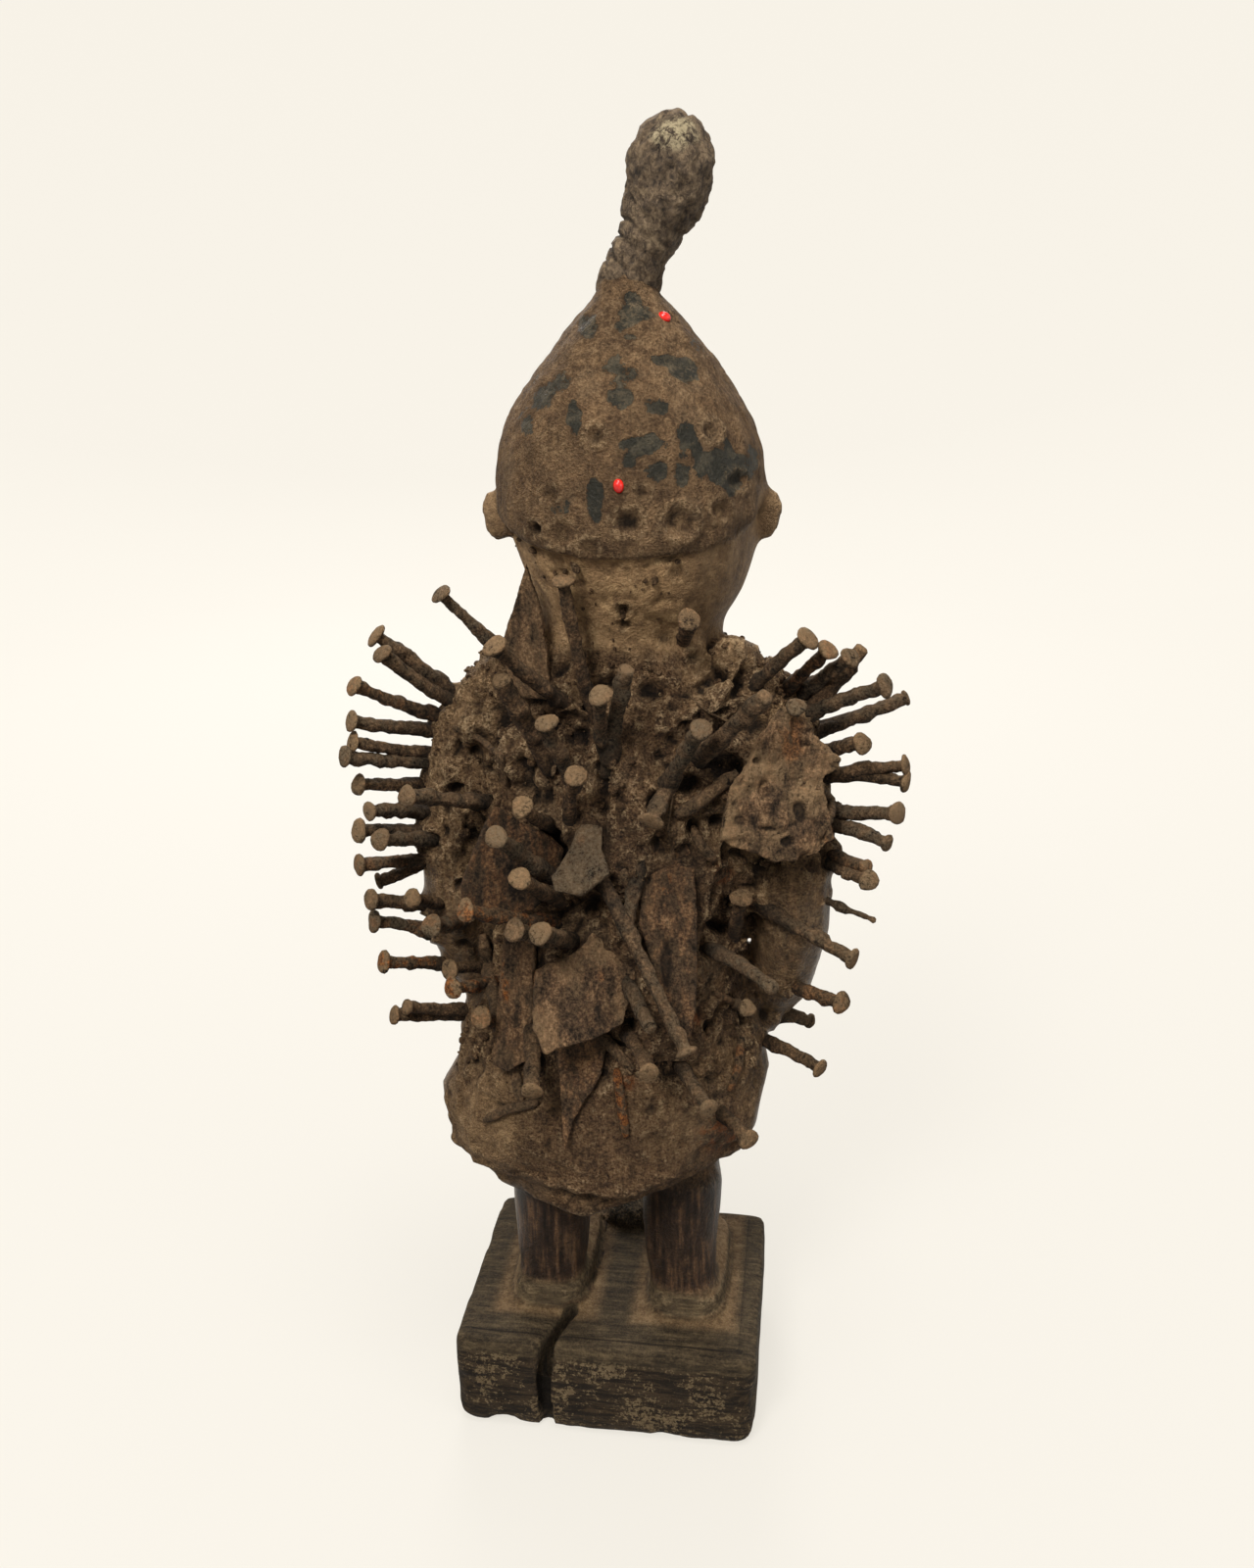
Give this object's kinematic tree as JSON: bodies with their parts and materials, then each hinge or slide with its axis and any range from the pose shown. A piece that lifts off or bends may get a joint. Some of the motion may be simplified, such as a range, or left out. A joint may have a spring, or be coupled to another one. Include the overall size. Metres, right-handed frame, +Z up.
{
  "type": "nkisi nkondi power figure",
  "caption": "Carved standing power figure on a cracked block, hands on its hips, its back driven full of iron nails and blades, with a domed cap and a wrapped finial.",
  "frame": {"origin": "middle of the block's underside", "axes": "+Z up, the figure faces -Y, its own right side is at -X"},
  "size_m": [0.2548, 0.1575, 0.6106],
  "materials": {
    "carving": "dark wood under a dull earthy crust",
    "finial": "wrapped bundle, stiff and dull with resin",
    "nail": "rusted",
    "blade": "rusted and dusty",
    "seed": "glossy red seed coat"
  },
  "bodies": {
    "root": {"figure": "carving", "finial": "finial", "nail_nape": "nail", "nail_yoke_pair": "nail", "nail_yoke_right": "nail", "nail_back_up_right": "nail", "nail_neck_left": "nail", "nail_rod_left": "nail", "nail_back_up_left": "nail", "nail_back_middle": "nail", "nail_plate_top": "nail", "nail_plate_face": "nail", "nail_plate_low": "nail", "nail_orange_left": "nail", "nail_low_pair": "nail", "nail_hip_left": "nail", "nail_side_left": "nail", "nail_left_top": "nail", "nail_left_bundle": "nail", "nail_left_3": "nail", "nail_left_4": "nail", "nail_left_pair_5": "nail", "nail_left_6": "nail", "nail_left_7": "nail", "nail_left_pair_8": "nail", "nail_left_pair_9": "nail", "nail_left_10": "nail", "nail_left_11": "nail", "nail_left_12": "nail", "nail_left_pair_13": "nail", "nail_right_1": "nail", "nail_right_2": "nail", "nail_right_3": "nail", "nail_right_fork": "nail", "nail_right_5": "nail", "nail_right_6": "nail", "nail_right_pair_7": "nail", "nail_right_pair_8": "nail", "nail_right_pair_9": "nail", "nail_right_10": "nail", "nail_right_low": "nail", "nail_right_11": "nail", "nail_right_12": "nail", "nail_right_13": "nail", "nail_right_hip": "nail", "nail_gap_nail": "nail", "nail_gap_rod": "nail", "nail_low_right": "nail", "nail_long_rods": "nail", "nail_bar_right": "nail", "blade_left": "blade", "blade_flared": "blade", "blade_square": "blade", "blade_spear": "blade", "blade_plank": "blade", "blade_wedge": "blade", "blade_lumpy": "blade", "blade_flap": "blade", "seed_back": "seed", "seed_crown": "seed"}
  },
  "joints": []
}
